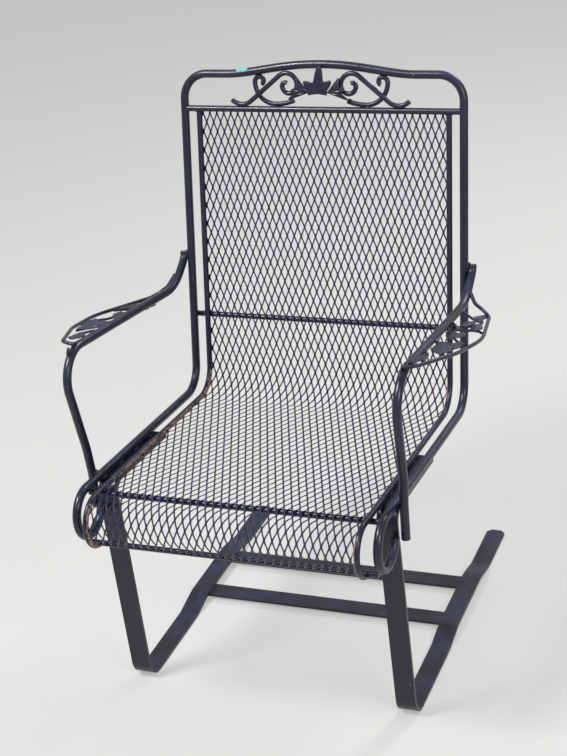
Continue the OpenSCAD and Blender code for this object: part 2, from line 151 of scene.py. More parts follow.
def seen_rays(tree: bpy.types.NodeTree) -> bpy.types.Node:
    """Adds what gives 1 where a thing is seen straight, in a reflection or through glass.

    Args:
        tree: the tree to add to.

    Returns:
        The node with the result.
    """
    path = add(tree, "ShaderNodeLightPath").outputs
    seen = add(
        tree, MATH, {0: path["Is Camera Ray"], 1: path["Is Glossy Ray"]}, operation="MAXIMUM")
    return add(tree, MATH, {0: seen, 1: path["Is Transmission Ray"]}, operation="MAXIMUM")


@dataclass(frozen=True)
class Enamel:
    """Semi-gloss alkyd enamel brushed over wrought iron and weathered outdoors.

    The eye gets a dark blue-black skin with sharp highlights, a slight orange peel, lighter
    navy patches on the faces that look up, partly chalking and partly painted sunlit tone,
    small chips down to a light primer and brown rust, and a rust bloom on the undersides.
    """

    name: str
    skin: str = "#1d203a"
    deep: str = "#11121d"
    # The colour below is the lighter navy of faces that look up: partly chalking, partly painted
    # sunlit tone.
    chalk_and_sunlit: str = "#33365a"
    rust: str = "#5b3524"
    primer: str = "#b3a596"
    chip_level: float = 0.785
    cluster_lift: float = 0.32
    cluster_level: float = 0.13
    rim_end: float = 0.012
    rust_range: tuple[float, float] = (0.022, 0.04)
    # The share below sets how far faces that look up go to that lighter navy, the painted sunlit
    # tone with chalking.
    chalk_and_sunlit_share: float = 0.5
    bloom: float = 0.3
    roughness: float = 0.27
    gloss_range: tuple[float, float] = (-0.07, 0.1)
    chalk_roughness: float = 0.18
    rust_roughness: float = 0.82
    peel_mm: float = 1.6
    flake_mm: float = 6.0
    mottle_mm: float = 14.0
    cluster_mm: float = 55.0
    drift_mm: float = 85.0
    relief_mm: float = 0.7
    # The band below makes the chips denser along both edges of the seat, which gives a light line
    # there.
    edge_band_mm: tuple[float, float] | None = None
    edge_band_top_mm: float = 470.0
    edge_band_fade_mm: float = 15.0
    edge_band_lift: float = 0.28

    def build(self) -> bpy.types.Material:
        """Makes the material.

        Returns:
            The material, ready to assign.
        """
        material = blank_material(self.name)
        tree = material.node_tree
        place = add(tree, "ShaderNodeTexCoord").outputs["Object"]
        normal = add(tree, "ShaderNodeNewGeometry").outputs["Normal"]
        up = add(tree, "ShaderNodeSeparateXYZ", {0: normal}).outputs["Z"]
        drift = add(tree, NOISE, {
            "Vector": place, "Scale": scale_of(self.drift_mm), "Detail": 4.0, "Roughness": 0.6})
        mottle = add(tree, NOISE, {
            "Vector": place, "Scale": scale_of(self.mottle_mm), "Detail": 6.0, "Roughness": 0.65})
        grit = add(tree, NOISE, {"Vector": place, "Scale": scale_of(self.peel_mm), "Detail": 3.0})
        skin = add(tree, MIX, {
            "Factor": drift, "A": linear(self.deep), "B": linear(self.skin)}, data_type="RGBA")
        # Faces that look up get a lighter navy, broken up at the size of a hand: partly chalking of
        # the paint, partly painted sunlit tone.
        sky = add(tree, RANGE, {"Value": up, "From Min": 0.1, "From Max": 1.0})
        patchy = add(tree, RANGE, {"Value": drift, "From Min": 0.42, "From Max": 0.66})
        chalk_sunlit_mask = add(tree, MATH, {0: sky, 1: patchy}, operation="MULTIPLY")
        chalk_sunlit_part = add(tree, MATH, {0: chalk_sunlit_mask, 1: self.chalk_and_sunlit_share}, operation="MULTIPLY")
        chalk_sunlit_mixed = add(tree, MIX, {
            "Factor": chalk_sunlit_part, "A": skin, "B": linear(self.chalk_and_sunlit)}, data_type="RGBA")
        # Rust bloom gathers on the undersides.
        under = add(tree, RANGE, {"Value": up, "From Min": -0.2, "From Max": -1.0})
        blotch = add(tree, RANGE, {"Value": mottle, "From Min": 0.5, "From Max": 0.72})
        bloom = add(tree, MATH, {0: under, 1: blotch}, operation="MULTIPLY")
        bloom_part = add(tree, MATH, {0: bloom, 1: self.bloom}, operation="MULTIPLY")
        bloomed = add(tree, MIX, {
            "Factor": bloom_part, "A": chalk_sunlit_mixed, "B": linear(self.rust)}, data_type="RGBA")
        # Chips of 1 to 4 mm come in clusters, with a light rim of primer round the rust.
        flake = add(tree, NOISE, {
            "Vector": place, "Scale": scale_of(self.flake_mm), "Detail": 5.0, "Roughness": 0.55,
            "Distortion": 0.6})
        cluster = add(tree, NOISE, {
            "Vector": place, "Scale": scale_of(self.cluster_mm), "Detail": 2.0})
        lift = add(tree, MATH, {0: cluster, 1: self.cluster_lift}, operation="MULTIPLY")
        level = add(tree, MATH, {0: flake, 1: lift}, operation="ADD")
        if self.edge_band_mm:
            # Along both edges of the seat, below a height, the chips are made denser, so a light
            # line of primer and rust colour runs there.
            spot = add(tree, "ShaderNodeSeparateXYZ", {0: place}).outputs
            across = add(tree, MATH, {0: spot["X"]}, operation="ABSOLUTE")
            rim = add(tree, RANGE, {
                "Value": across, "From Min": self.edge_band_mm[0] * MM,
                "From Max": self.edge_band_mm[1] * MM, "To Max": self.edge_band_lift})
            seat = add(tree, RANGE, {
                "Value": spot["Z"], "From Min": self.edge_band_top_mm * MM,
                "From Max": (self.edge_band_top_mm - self.edge_band_fade_mm) * MM})
            level = add(tree, MATH, {0: rim, 1: seat, 2: level}, operation="MULTIPLY_ADD")
        base = self.chip_level + self.cluster_level
        rimmed = add(tree, RANGE, {
            "Value": level, "From Min": base, "From Max": base + self.rim_end})
        bare = add(tree, RANGE, {
            "Value": level, "From Min": base + self.rust_range[0],
            "From Max": base + self.rust_range[1]})
        under_coat = add(tree, MIX, {
            "Factor": bare, "A": linear(self.primer), "B": linear(self.rust)}, data_type="RGBA")
        colour = add(tree, MIX, {"Factor": rimmed, "A": bloomed, "B": under_coat}, data_type="RGBA")
        dull = add(tree, MATH, {0: bloom_part, 1: rimmed}, operation="MAXIMUM")
        gloss = add(tree, RANGE, {
            "Value": mottle, "From Min": 0.3, "From Max": 0.7,
            "To Min": self.roughness + self.gloss_range[0],
            "To Max": self.roughness + self.gloss_range[1]})
        rough_chalk = add(
            tree, MATH, {0: chalk_sunlit_mask, 1: self.chalk_roughness, 2: gloss}, operation="MULTIPLY_ADD")
        rough = add(tree, MIX, {
            "Factor": dull, "A": rough_chalk, "B": self.rust_roughness}, data_type="FLOAT")
        # The relief is sunk chips, then soft brush marks, then the peel of the skin.
        chips = add(tree, MATH, {0: rimmed, 1: -0.35}, operation="MULTIPLY")
        marks = add(tree, MATH, {0: mottle, 1: 0.5, 2: chips}, operation="MULTIPLY_ADD")
        relief = add(tree, MATH, {0: grit, 1: 0.14, 2: marks}, operation="MULTIPLY_ADD")
        bump = add(tree, "ShaderNodeBump", {
            "Height": relief, "Strength": 0.55, "Distance": self.relief_mm * MM})
        shader = add(tree, "ShaderNodeBsdfPrincipled", {
            "Base Color": colour, "Roughness": rough, "Normal": bump, "IOR": 1.5})
        add(tree, "ShaderNodeOutputMaterial", {0: shader})
        return material


@dataclass(frozen=True)
class VinylTape:
    """Plasticised PVC tape: a flat bright skin, faintly wrinkled, with a soft sheen."""

    name: str = "vinyl_tape"
    colour: str = "#35b9b4"
    faded: str = "#7fd0c8"
    wear_mm: float = 6.0
    relief_mm: float = 0.6
    roughness: tuple[float, float] = (0.35, 0.6)

    def build(self) -> bpy.types.Material:
        """Makes the material.

        Returns:
            The material, ready to assign.
        """
        material = blank_material(self.name)
        tree = material.node_tree
        place = add(tree, "ShaderNodeTexCoord").outputs["Object"]
        wear = add(tree, NOISE, {"Vector": place, "Scale": scale_of(self.wear_mm), "Detail": 4.0})
        colour = add(tree, MIX, {
            "Factor": wear, "A": linear(self.colour), "B": linear(self.faded)}, data_type="RGBA")
        rough = add(tree, RANGE, {
            "Value": wear, "To Min": self.roughness[0], "To Max": self.roughness[1]})
        bump = add(tree, "ShaderNodeBump", {
            "Height": wear, "Strength": 0.4, "Distance": self.relief_mm * MM})
        shader = add(tree, "ShaderNodeBsdfPrincipled", {
            "Base Color": colour, "Roughness": rough, "Normal": bump})
        add(tree, "ShaderNodeOutputMaterial", {0: shader})
        return material


@dataclass(frozen=True)
class StudioSurface:
    """Matt painted board for the floor, plain and pale.

    Seen straight or in a reflection it is partly its plain colour, so that it stays even
    far from the lamps, and the rest is lit, so that it keeps the chair's shadow.
    """

    name: str = "studio_floor"
    colour: str = "#dedddb"
    roughness: float = 0.9
    even: float = 0.55

    def build(self) -> bpy.types.Material:
        """Makes the material.

        Returns:
            The material, ready to assign.
        """
        material = blank_material(self.name)
        tree = material.node_tree
        share = add(tree, MATH, {0: seen_rays(tree), 1: self.even}, operation="MULTIPLY")
        lit = add(tree, "ShaderNodeBsdfPrincipled", {
            "Base Color": linear(self.colour), "Roughness": self.roughness})
        plain = add(tree, "ShaderNodeEmission", {"Color": linear(self.colour), "Strength": 1.0})
        mixed = add(tree, "ShaderNodeMixShader", {0: share, 1: lit, 2: plain})
        add(tree, "ShaderNodeOutputMaterial", {0: mixed})
        return material


def filleted(
    points: Sequence[Vector], radii: Sequence[float], step: float = 4.0
) -> list[Vector]:
    """Rounds the corners of a line of points.

    Args:
        points: the corners.
        radii: the bend radius at each corner.
        step: the largest turn between two points of a bend, in degrees.

    Returns:
        The points of the rounded line.
    """
    line = [points[0]]
    for before, corner, after, radius in zip(points, points[1:], points[2:], radii[1:]):
        u = (corner - before).normalized()
        w = (after - corner).normalized()
        turn = u.angle(w)
        if turn < STRAIGHT or radius <= 0:
            line.append(corner)
            continue
        start = corner - u * radius * math.tan(turn / 2)
        axis = u.cross(w).normalized()
        inward = axis.cross(u)
        centre = start + inward * radius
        count = max(2, math.ceil(math.degrees(turn) / step))
        for i in range(count + 1):
            line.append(centre + Matrix.Rotation(turn * i / count, 3, axis) @ (start - centre))
    line.append(points[-1])
    return line


@dataclass(frozen=True)
class ChairLines:
    """The lines that the pieces follow, with the sizes of the part's source."""

    corner: tuple[float, float] = (173.85, 421.0)
    seat_rise: float = 5.0
    back_lean: float = 12.0
    back_len: float = 564.0
    seat_len: float = 493.0
    roll_reach: float = 22.0
    half_w: float = 282.0
    side_x: float = 253.0
    frame_r: float = 8.0
    mid_rod_at: float = 150.0
    front_rod_back: float = 11.0
    arm_x: float = 298.0
    arm_weld_at: float = 273.0
    arm_seat_back: float = 56.0
    band_reach: float = 84.0
    orn_back: float = 178.5
    orn_len: float = 410.0
    orn_back_h: float = 614.8
    orn_rise: float = 96.2

    @property
    def seat_dir(self) -> Vector:
        """Direction from the seat's corner to its front."""
        a = math.radians(self.seat_rise)
        return Vector((0, -math.cos(a), math.sin(a)))

    @property
    def seat_out(self) -> Vector:
        """Direction down out of the seat."""
        a = math.radians(self.seat_rise)
        return Vector((0, -math.sin(a), -math.cos(a)))

    @property
    def back_dir(self) -> Vector:
        """Direction from the seat's corner to the back's top."""
        a = math.radians(self.back_lean)
        return Vector((0, math.sin(a), math.cos(a)))

    @property
    def back_out(self) -> Vector:
        """Direction out behind the back."""
        a = math.radians(self.back_lean)
        return Vector((0, math.cos(a), -math.sin(a)))

    def on_seat(self, x: float, along: float, drop: float = 0.0) -> Vector:
        """A point on the seat's line, or under it."""
        return Vector((x, *self.corner)) + self.seat_dir * along + self.seat_out * drop

    def on_back(self, x: float, along: float, drop: float = 0.0) -> Vector:
        """A point on the back's line, or behind it."""
        return Vector((x, *self.corner)) + self.back_dir * along + self.back_out * drop

    def dropped_corner(self, drop: float) -> Vector:
        """The corner of the line that runs at a distance under the seat and behind the back.

        Args:
            drop: the distance.

        Returns:
            The corner, in the middle of the chair.
        """
        inward = (self.seat_dir + self.back_dir).normalized()
        half = self.seat_dir.angle(self.back_dir) / 2
        return Vector((0, *self.corner)) - inward * drop / math.sin(half)

    def orn(self, out: float, share: float, lift: float = 0.0) -> Vector:
        """A point of the right arm's ornament.

        Args:
            out: how far out from the arm, as a share of the ornament's reach.
            share: how far forward, as a share of its length.
            lift: height over its line.

        Returns:
            The point.
        """
        return Vector((
            self.arm_x + out * self.band_reach,
            self.orn_back - share * self.orn_len,
            self.orn_back_h + share * self.orn_rise + lift,
        ))

    @property
    def orn_dir(self) -> Vector:
        """Direction in which the arm's ornament runs forward."""
        return (self.orn(0, 1) - self.orn(0, 0)).normalized()

    @property
    def orn_up(self) -> Vector:
        """Direction up out of the arm's ornament."""
        return X_AXIS.cross(-self.orn_dir)


def new_object(name: str, data: bpy.types.ID) -> bpy.types.Object:
    """Links a mesh, curve, lamp or camera to the scene as an object at the origin.

    Args:
        name: the object's name.
        data: what it holds.

    Returns:
        The object.
    """
    piece = bpy.data.objects.new(name, data)
    bpy.context.scene.collection.objects.link(piece)
    return piece


def smooth(mesh: bpy.types.Mesh) -> None:
    """Shades all of a mesh smooth."""
    for polygon in mesh.polygons:
        polygon.use_smooth = True


def smooth_mesh(work: bmesh.types.BMesh, name: str) -> bpy.types.Mesh:
    """Turns the faces outwards and makes a smooth mesh of the work, which is freed.

    Args:
        work: the mesh in hand.
        name: the name of the new mesh.

    Returns:
        The mesh.
    """
    bmesh.ops.recalc_face_normals(work, faces=work.faces)
    mesh = bpy.data.meshes.new(name)
    work.to_mesh(mesh)
    work.free()
    smooth(mesh)
    return mesh


def add_sheet(
    work: bmesh.types.BMesh, size: tuple[int, int], levels: tuple[float, float],
    spot: Callable[[float, int, int], Vector], walls: bool
) -> Grid:
    """Adds a thin sheet to a mesh: a grid of points on each face, and the faces between.

    Args:
        work: the mesh in hand.
        size: the steps from the first row to the last, and along a row.
        levels: the heights of the two faces.
        spot: gives a point's place from its height, row and step, in millimetres.
        walls: whether the ends of the rows are closed too.

    Returns:
        The last row of each grid.
    """
    rows, steps = size
    top, bottom = (
        [[work.verts.new(spot(level, i, j) * MM) for j in range(steps + 1)]
         for i in range(rows + 1)]
        for level in levels)
    for i in range(rows):
        for j in range(steps):
            work.faces.new((top[i][j], top[i + 1][j], top[i + 1][j + 1], top[i][j + 1]))
            work.faces.new(
                (bottom[i][j], bottom[i][j + 1], bottom[i + 1][j + 1], bottom[i + 1][j]))
        for j in (0, -1) if walls else ():
            work.faces.new((top[i][j], bottom[i][j], bottom[i + 1][j], top[i + 1][j]))
    return [top[-1], bottom[-1]]


def settle(
    piece: bpy.types.Object, finish: bpy.types.Material
) -> bpy.types.Object:
    """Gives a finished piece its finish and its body.

    Args:
        piece: the piece, with its place in its mesh.
        finish: the material.

    Returns:
        The same piece.
    """
    piece.data.materials.clear()
    piece.data.materials.append(finish)
    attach(piece, "root")
    LOG.info("%s: %d faces", piece.name, len(piece.data.polygons))
    return piece


def new_tree(name: str, inputs: dict[str, str]) -> bpy.types.NodeTree:
    """Makes an empty Geometry Nodes tree with named inputs and a geometry output.

    Args:
        name: the tree's name.
        inputs: the kind of socket of each input.

    Returns:
        The tree.
    """
    tree = bpy.data.node_groups.new(name, "GeometryNodeTree")
    for label, kind in inputs.items():
        tree.interface.new_socket(label, in_out="INPUT", socket_type=f"NodeSocket{kind}")
    tree.interface.new_socket("Geometry", in_out="OUTPUT", socket_type="NodeSocketGeometry")
    return tree


def grown(
    source: bpy.types.Object, tree: bpy.types.NodeTree, values: dict[str, Any], name: str
) -> bpy.types.Object:
    """Runs a Geometry Nodes tree on an object and keeps the result as a plain mesh.

    Args:
        source: the object that the tree starts from.
        tree: the tree.
        values: its inputs by name.
        name: the name of the new piece.

    Returns:
        The new piece. The source is removed.
    """
    modifier = source.modifiers.new("grow", "NODES")
    modifier.node_group = tree
    for item in tree.interface.items_tree:
        if item.item_type == "SOCKET" and item.in_out == "INPUT" and item.name in values:
            modifier[item.identifier] = values[item.name]
    bpy.context.view_layer.update()
    evaluated = source.evaluated_get(bpy.context.evaluated_depsgraph_get())
    mesh = bpy.data.meshes.new_from_object(evaluated)
    source.modifiers.remove(modifier)
    bpy.data.objects.remove(source)
    mesh.name = name
    return new_object(name, mesh)


@dataclass
class ExpandedMesh:
    """The sheet of expanded metal: bonds on a staggered lattice, joined by twisted strands."""

    lines: ChairLines
    half_width: float = 251.0
    columns: int = 34
    long_pitch: float = 36.2
    strand: float = 2.55
    bond_len: float = 7.6
    bond_half: float = 0.98
    shoulder_at: float = 0.22
    sheet: float = 1.6
    twist: float = 28.0
    tip_twist: float = 0.6
    drop: float = 7.0
    bend_r: float = 61.0
    bend_step: float = 2.0
    roll_r: float = 42.5
    roll_turn: float = 178.0
    roll_steps: int = 60
    cells_join: float = 0.2
    points_join: float = 0.05

    def profile(self) -> list[Vector]:
        """The line that the sheet follows.

        Returns:
            Its points, from the top bar to the front roll's rod.
        """
        lines = self.lines
        top = lines.on_back(0, lines.back_len, self.drop)
        roll_start = lines.on_seat(0, lines.seat_len + lines.roll_reach, self.drop)
        corners = [top, lines.dropped_corner(self.drop), roll_start]
        path = filleted(corners, [0, self.bend_r, 0], self.bend_step)
        centre = roll_start + lines.seat_out * self.roll_r
        for i in range(1, self.roll_steps + 1):
            a = math.radians(self.roll_turn * i / self.roll_steps)
            ray = lines.seat_dir * math.sin(a) - lines.seat_out * math.cos(a)
            path.append(centre + ray * self.roll_r)
        return path

    def cell(self, across: float, along: float) -> bpy.types.Mesh:
        """One bond with the halves of its strands.

        Args:
            across: the pitch across the sheet.
            along: the pitch along the sheet.

        Returns:
            The mesh, in metres, open where the strands meet the next bonds.
        """
        slope = math.tan(math.radians(self.twist))
        half, notch = self.strand * self.bond_half, self.bond_len / 2
        shoulder = self.bond_len * self.shoulder_at
        run = Vector((across / 2, along / 2)).normalized()
        side = Vector((run.y, -run.x)) * self.strand / 2
        middle = Vector((across / 4, along / 4))
        outer, inner = middle + side, middle - side
        rise, tip = half * slope, self.strand / 2 * slope * self.tip_twist
        quarter = [(half, shoulder, rise), (outer.x, outer.y, tip), (inner.x, inner.y, -tip)]
        ring = quarter + [(0, notch, 0)]
        ring += [(-x, y, -z) for x, y, z in reversed(quarter)]
        ring += [(-x, -y, -z) for x, y, z in quarter] + [(0, -notch, 0)]
        ring += [(x, -y, z) for x, y, z in reversed(quarter)]
        count = len(ring)
        lift = self.sheet / 2
        points = [(x * MM, y * MM, (z + lift) * MM) for x, y, z in ring]
        points += [(x * MM, y * MM, (z - lift) * MM) for x, y, z in ring]
        bond = (0, 3, 6, 7, 10, 13)
        tops = [bond, (0, 1, 2, 3), (3, 4, 5, 6), (7, 8, 9, 10), (10, 11, 12, 13)]
        faces: list[tuple[int, ...]] = list(tops)
        faces += [tuple(i + count for i in reversed(top)) for top in tops]
        open_ends = {1, 4, 8, 11}
        for i in range(count):
            j = (i + 1) % count
            if i not in open_ends:
                faces.append((j, i, i + count, j + count))
        mesh = bpy.data.meshes.new("mesh_cell")
        mesh.from_pydata(points, [], faces)
        return mesh

    def tree(self) -> bpy.types.NodeTree:
        """The tree that sets cells out on a lattice and bends them along the profile.

        Returns:
            The tree.
        """
        tree = new_tree("expanded_mesh", {
            "Cell": "Object", "Profile": "Object", "Columns": "Int", "Rows": "Int",
            "Pitch Across": "Float", "Pitch Along": "Float", "Finish": "Material"})
        given = add(tree, "NodeGroupInput").outputs
        cell = add(tree, "GeometryNodeObjectInfo", {"Object": given["Cell"]})
        profile = add(tree, "GeometryNodeObjectInfo", {"Object": given["Profile"]})
        spans = []
        for count, pitch in (("Columns", "Pitch Across"), ("Rows", "Pitch Along")):
            gaps = add(tree, MATH, {0: given[count], 1: 1.0}, operation="SUBTRACT")
            spans.append(add(tree, MATH, {0: gaps, 1: given[pitch]}, operation="MULTIPLY"))
        grid = add(tree, "GeometryNodeMeshGrid", {
            "Size X": spans[0], "Size Y": spans[1],
            "Vertices X": given["Columns"], "Vertices Y": given["Rows"]})
        # One lattice lies a quarter pitch left of the middle, the other as far right of it,
        # and they start a quarter and three quarters of a pitch down the sheet.
        along = given["Pitch Along"]
        right = add(tree, MATH, {0: given["Pitch Across"], 1: 0.25}, operation="MULTIPLY")
        left = add(tree, MATH, {0: right, 1: -1.0}, operation="MULTIPLY")
        half = add(tree, MATH, {0: spans[1], 1: -0.5}, operation="MULTIPLY")
        first = add(tree, MATH, {0: along, 1: -0.25, 2: half}, operation="MULTIPLY_ADD")
        second = add(tree, MATH, {0: along, 1: -0.75, 2: half}, operation="MULTIPLY_ADD")
        moved = []
        for x, y in ((left, first), (right, second)):
            shift = add(tree, "ShaderNodeCombineXYZ", {"X": x, "Y": y})
            moved.append(add(tree, "GeometryNodeTransform", {
                "Geometry": grid.outputs["Mesh"], "Translation": shift}))
        both = add(tree, "GeometryNodeJoinGeometry")
        for part in moved:
            tree.links.new(part.outputs[0], both.inputs[0])
        cells = add(tree, "GeometryNodeInstanceOnPoints", {
            "Points": both, "Instance": cell.outputs["Geometry"]})
        solid = add(tree, "GeometryNodeRealizeInstances", {"Geometry": cells})
        joined = add(tree, "GeometryNodeMergeByDistance", {
            "Geometry": solid, "Distance": self.cells_join * MM})
        spot = add(tree, "GeometryNodeInputPosition")
        place = add(tree, "ShaderNodeSeparateXYZ", {0: spot}).outputs
        down = add(tree, MATH, {0: place["Y"], 1: -1.0}, operation="MULTIPLY")
        sample = add(
            tree, "GeometryNodeSampleCurve",
            {"Curves": profile.outputs["Geometry"], "Length": down},
            mode="LENGTH", use_all_curves=False)
        outward = add(
            tree, VECTORS, {0: sample.outputs["Tangent"], 1: X_AXIS}, operation="CROSS_PRODUCT")
        raised = add(tree, VECTORS, {0: outward, "Scale": place["Z"]}, operation="SCALE")
        across = add(tree, "ShaderNodeCombineXYZ", {"X": place["X"]})
        lifted = add(tree, VECTORS, {0: sample.outputs["Position"], 1: raised}, operation="ADD")
        placed = add(tree, VECTORS, {0: lifted, 1: across}, operation="ADD")
        bent = add(tree, "GeometryNodeSetPosition", {"Geometry": joined, "Position": placed})
        real = add(tree, "GeometryNodeRealizeInstances", {"Geometry": bent})
        dressed = add(tree, "GeometryNodeSetMaterial", {
            "Geometry": real, "Material": given["Finish"]})
        add(tree, "NodeGroupOutput", {0: dressed})
        return tree

    def guide(self, path: Sequence[Vector]) -> bpy.types.Object:
        """Makes the curve that the sheet is bent along.

        Args:
            path: its points.

        Returns:
            The curve's object.
        """
        curve = bpy.data.curves.new("mesh_profile", "CURVE")
        curve.dimensions = "3D"
        spline = curve.splines.new("POLY")
        spline.points.add(len(path) - 1)
        for point, p in zip(spline.points, path):
            point.co = (*(p * MM), 1.0)
        return new_object("mesh_profile", curve)

    def build(self, finish: bpy.types.Material) -> bpy.types.Object:
        """Makes the sheet and puts it in place of the plain one.

        Args:
            finish: the material.

        Returns:
            The piece.
        """
        path = self.profile()
        length = sum((b - a).length for a, b in zip(path, path[1:]))
        rows = max(2, 2 * round(length / self.long_pitch))
        along = 2 * length / rows
        across = 2 * self.half_width / self.columns
        guide = self.guide(path)
        cell = new_object("mesh_cell", self.cell(across, along))
        start = new_object("mesh_start", bpy.data.meshes.new("mesh_start"))
        piece = grown(start, self.tree(), {
            "Cell": cell, "Profile": guide, "Columns": self.columns, "Rows": rows // 2,
            "Pitch Across": across * MM, "Pitch Along": along * MM, "Finish": finish,
        }, "expanded_mesh")
        bpy.data.objects.remove(cell)
        bpy.data.objects.remove(guide)
        work = bmesh.new()
        work.from_mesh(piece.data)
        bmesh.ops.remove_doubles(work, verts=work.verts, dist=self.points_join * MM)
        bmesh.ops.holes_fill(work, edges=[e for e in work.edges if e.is_boundary], sides=4)
        bmesh.ops.recalc_face_normals(work, faces=work.faces)
        open_edges = sum(1 for e in work.edges if not e.is_manifold)
        work.to_mesh(piece.data)
        work.free()
        LOG.info("mesh rows %d, open edges %d", rows, open_edges)
        settle(piece, finish)
        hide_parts("mesh_sheet")
        return piece


@dataclass(frozen=True)
class LeafForm:
    """A stamped leaf: pointed, dished, with a raised midrib and side veins."""

    length: float
    width: float
    sheet: float = 1.8
    camber: float = 2.2
    camber_w: float = 30.0
    crown: float = 0.35
    rib: float = 1.7
    rib_w: float = 0.16
    rib_lead: float = 0.1
    vein: float = 0.6
    veins: float = 5.0
    vein_slant: float = 1.1
    fullness: float = 0.85
    roundness: float = 0.9
    rows: int = 20
    half_columns: int = 6

    def height(self, u: float, v: float, ribbed: bool) -> float:
        """Height of the sheet's face.

        Args:
            u: how far along from the stalk, as a share of the length.
            v: how far out from the midrib, from -1 to 1.
            ribbed: whether the midrib stands on this face.

        Returns:
            The height over the leaf's own plane.
        """
        bow = math.sin(math.pi * u)
        z = self.camber * bow * (self.crown - v * v) * self.width / self.camber_w
        if ribbed:
            fade = math.sin(math.pi * min(1.0, u + self.rib_lead))
            z += self.rib * math.exp(-((v / self.rib_w) ** 2)) * fade
        ripple = math.cos(2 * math.pi * (u * self.veins - abs(v) * self.vein_slant))
        return z + self.vein * ripple * abs(v) * (1 - abs(v)) * 2

    def point(self, level: float, i: int, j: int) -> Vector:
        """A point of the sheet.

        Args:
            level: its height over the middle of the sheet.
            i: its row, from the stalk.
            j: its step along the row, from one edge to the other.

        Returns:
            Its place in the leaf's own frame.
        """
        u, v = i / self.rows, (j - self.half_columns) / self.half_columns
        inside = 0 < u < 1
        swell = math.sin(math.pi * u**self.fullness) ** self.roundness if inside else 0.0
        z = self.height(u, v, level > 0) + level
        return Vector((u * self.length, v * self.width / 2 * swell, z))

    def add_to(self, work: bmesh.types.BMesh, place: Matrix) -> None:
        """Adds the leaf to a mesh.

        Args:
            work: the mesh in hand.
            place: the matrix from the leaf's own frame, along +X from its stalk and with
                +Z on its face, to the chair's frame, in millimetres.
        """
        add_sheet(
            work, (self.rows, 2 * self.half_columns), (self.sheet / 2, -self.sheet / 2),
            lambda level, i, j: place @ self.point(level, i, j), walls=True)


@dataclass(frozen=True)
class FanForm:
    """A stamped form that fans out from its base into pointed or rounded lobes."""

    base: tuple[float, float]
    spread: tuple[float, float]
    reach: float
    lobes: tuple[tuple[float, float, float], ...]
    ribs: tuple[float, ...]
    camber: float
    out: float
    sheet: float = 1.8
    rib: float = 1.7
    rib_w: float = 4.5
    rib_rise: float = 0.25
    foot: float = 0.15
    dish_run: float = 0.6
    rings: int = 12
    spokes: int = 64

    def radius(self, turn: float) -> float:
        """Distance from the base to the edge, in a direction given in degrees."""
        swells = (more * math.exp(-(((turn - at) / wide) ** 2)) for at, more, wide in self.lobes)
        return self.reach + sum(swells)

    def relief(self, share: float, turn: float) -> float:
        """Height of the face.

        Args:
            share: how far out from the base, as a share of the way to the edge.
            turn: the direction, in degrees.

        Returns:
            The height over the form's own plane.
        """
        low, high = self.spread
        across = 2 * (turn - low) / (high - low) - 1
        dish = math.sin(math.pi * (self.foot + self.dish_run * share)) * share**0.5
        height = self.camber * (1 - across * across) * dish
        # The ribs rise out of the base and fade at the edge.
        swell = math.sin(math.pi * min(1.0, self.foot + (1 - self.foot) * share))
        swell *= min(1.0, share / self.rib_rise)
        for at in self.ribs:
            height += self.rib * math.exp(-(((turn - at) / self.rib_w) ** 2)) * swell
        return height

    def point(self, level: float, i: int, j: int) -> Vector:
        """A point of the sheet.

        Args:
            level: its height over the middle of the sheet.
            i: its ring, from the base.
            j: its spoke.

        Returns:
            Its place in the form's own frame.
        """
        share = i / self.rings
        low, high = self.spread
        turn = low + (high - low) * j / self.spokes
        a, r = math.radians(turn), self.radius(turn) * share
        x, y = self.base[0] + r * math.cos(a), self.base[1] + r * math.sin(a)
        return Vector((x, y, self.out + self.sheet / 2 + self.relief(share, turn) + level))

    def add_to(self, work: bmesh.types.BMesh, place: Matrix) -> None:
        """Adds the form to a mesh.

        Args:
            work: the mesh in hand.
            place: the matrix from the form's own frame, with +Z on its face, to the
                chair's frame, in millimetres.
        """
        top, bottom = add_sheet(
            work, (self.rings, self.spokes), (self.sheet / 2, -self.sheet / 2),
            lambda level, i, j: place @ self.point(level, i, j), walls=True)
        for j in range(self.spokes):
            work.faces.new((top[j], bottom[j], bottom[j + 1], top[j + 1]))


def leaf_piece(
    name: str, leaves: Iterable[tuple[LeafForm | FanForm, Matrix]], replaced: str,
    finish: bpy.types.Material
) -> bpy.types.Object:
    """Makes one piece of several leaves in place of a flat node.

    Args:
        name: the piece's name.
        leaves: each leaf's form and place.
        replaced: the node that it stands for.
        finish: the material.

    Returns:
        The piece.
    """
    work = bmesh.new()
    for form, place in leaves:
        form.add_to(work, place)
    bmesh.ops.remove_doubles(work, verts=work.verts, dist=MERGE)
    bmesh.ops.dissolve_degenerate(work, edges=work.edges, dist=THIN)
    bmesh.ops.holes_fill(work, edges=[e for e in work.edges if e.is_boundary], sides=0)
    piece = new_object(name, smooth_mesh(work, name))
    settle(piece, finish)
    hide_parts(replaced)
    return piece


def frame_matrix(x: Vector, z: Vector, origin: Vector) -> Matrix:
    """A frame set by its x axis and the side that z lies on.

    Args:
        x: the direction of its x axis.
        z: the direction that its z axis is turned square from.
        origin: where it stands.

    Returns:
        The matrix from that frame to the chair's.
    """
    x = x.normalized()
    y = z.cross(x).normalized()
    z = x.cross(y)
    rows = [(x[i], y[i], z[i], origin[i]) for i in range(3)]
    return Matrix((*rows, (0, 0, 0, 1)))


